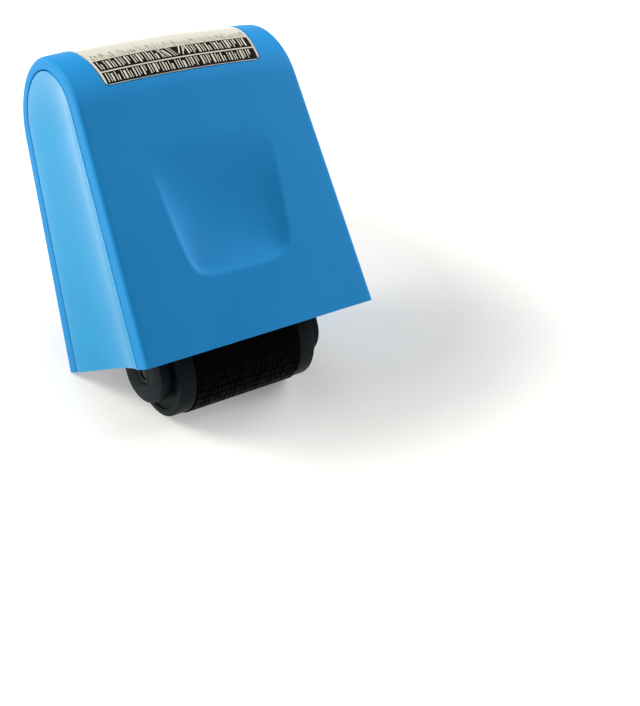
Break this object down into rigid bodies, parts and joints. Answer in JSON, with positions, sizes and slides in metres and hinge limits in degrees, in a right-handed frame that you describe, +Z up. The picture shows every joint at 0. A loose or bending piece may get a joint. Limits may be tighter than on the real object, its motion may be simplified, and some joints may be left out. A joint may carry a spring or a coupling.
{
  "type": "roller stamp",
  "caption": "Hand-held roller stamp: an arched blue housing with thumb scoops and dished sides over a black printing drum fed by a sprung ink roller.",
  "frame": {"origin": "centre of the footprint of the bounding box, at the level that the stamp stands on", "axes": "+Z up; +X along the drum, across the stamp; +Y to the rear, the way the housing leans back"},
  "size_m": [0.062, 0.0696, 0.0736],
  "materials": {
    "housing_plastic": "fine satin",
    "label_film": "printed",
    "frame_plastic": "smooth",
    "drum_plastic": "smooth",
    "bush_plastic": "matt",
    "die_rubber": "satin",
    "ink_felt": "soaked",
    "axle_steel": "ground",
    "screw_steel": "plated",
    "spring_steel": "drawn"
  },
  "bodies": {
    "stamp_body": {"housing_shell": "housing_plastic", "side_panel_left": "housing_plastic", "side_panel_right": "housing_plastic", "top_label": "label_film", "base_plate": "frame_plastic", "cheek_left": "frame_plastic", "cheek_right": "frame_plastic", "cross_bridge": "frame_plastic", "frame_screws": "screw_steel", "bush_left": "bush_plastic", "bush_right": "bush_plastic", "pressure_spring_left": "spring_steel", "pressure_spring_right": "spring_steel"},
    "drum": {"drum_axle": "axle_steel", "drum_core": "drum_plastic", "drum_flange_left": "drum_plastic", "drum_flange_right": "drum_plastic", "print_die": "die_rubber"},
    "ink_carriage": {"ink_carriage": "frame_plastic", "ink_axle": "axle_steel"},
    "ink_roller": {"ink_core": "drum_plastic", "ink_sleeve": "ink_felt", "ink_cap_left": "drum_plastic", "ink_cap_right": "drum_plastic"}
  },
  "joints": [
    {"name": "drum_spin", "type": "hinge", "parent": "stamp_body", "child": "drum", "pos_m": [0, -0.01989, 0.012], "axis": [1, 0, 0], "continuous": true},
    {"name": "ink_carriage_lift", "type": "slide", "parent": "stamp_body", "child": "ink_carriage", "axis": [0, 0.6461, 0.7633], "range_m": [0, 0.0012], "stiffness_N_per_m": 300, "springref_m": -0.002, "deforming": ["pressure_spring_left", "pressure_spring_right"]},
    {"name": "ink_roller_spin", "type": "hinge", "parent": "ink_carriage", "child": "ink_roller", "pos_m": [0, -0.0071, 0.02711], "axis": [1, 0, 0], "continuous": true}
  ],
  "couplings": [
    {"joint": "ink_roller_spin", "follows": "drum_spin", "ratio": -1.6}
  ]
}
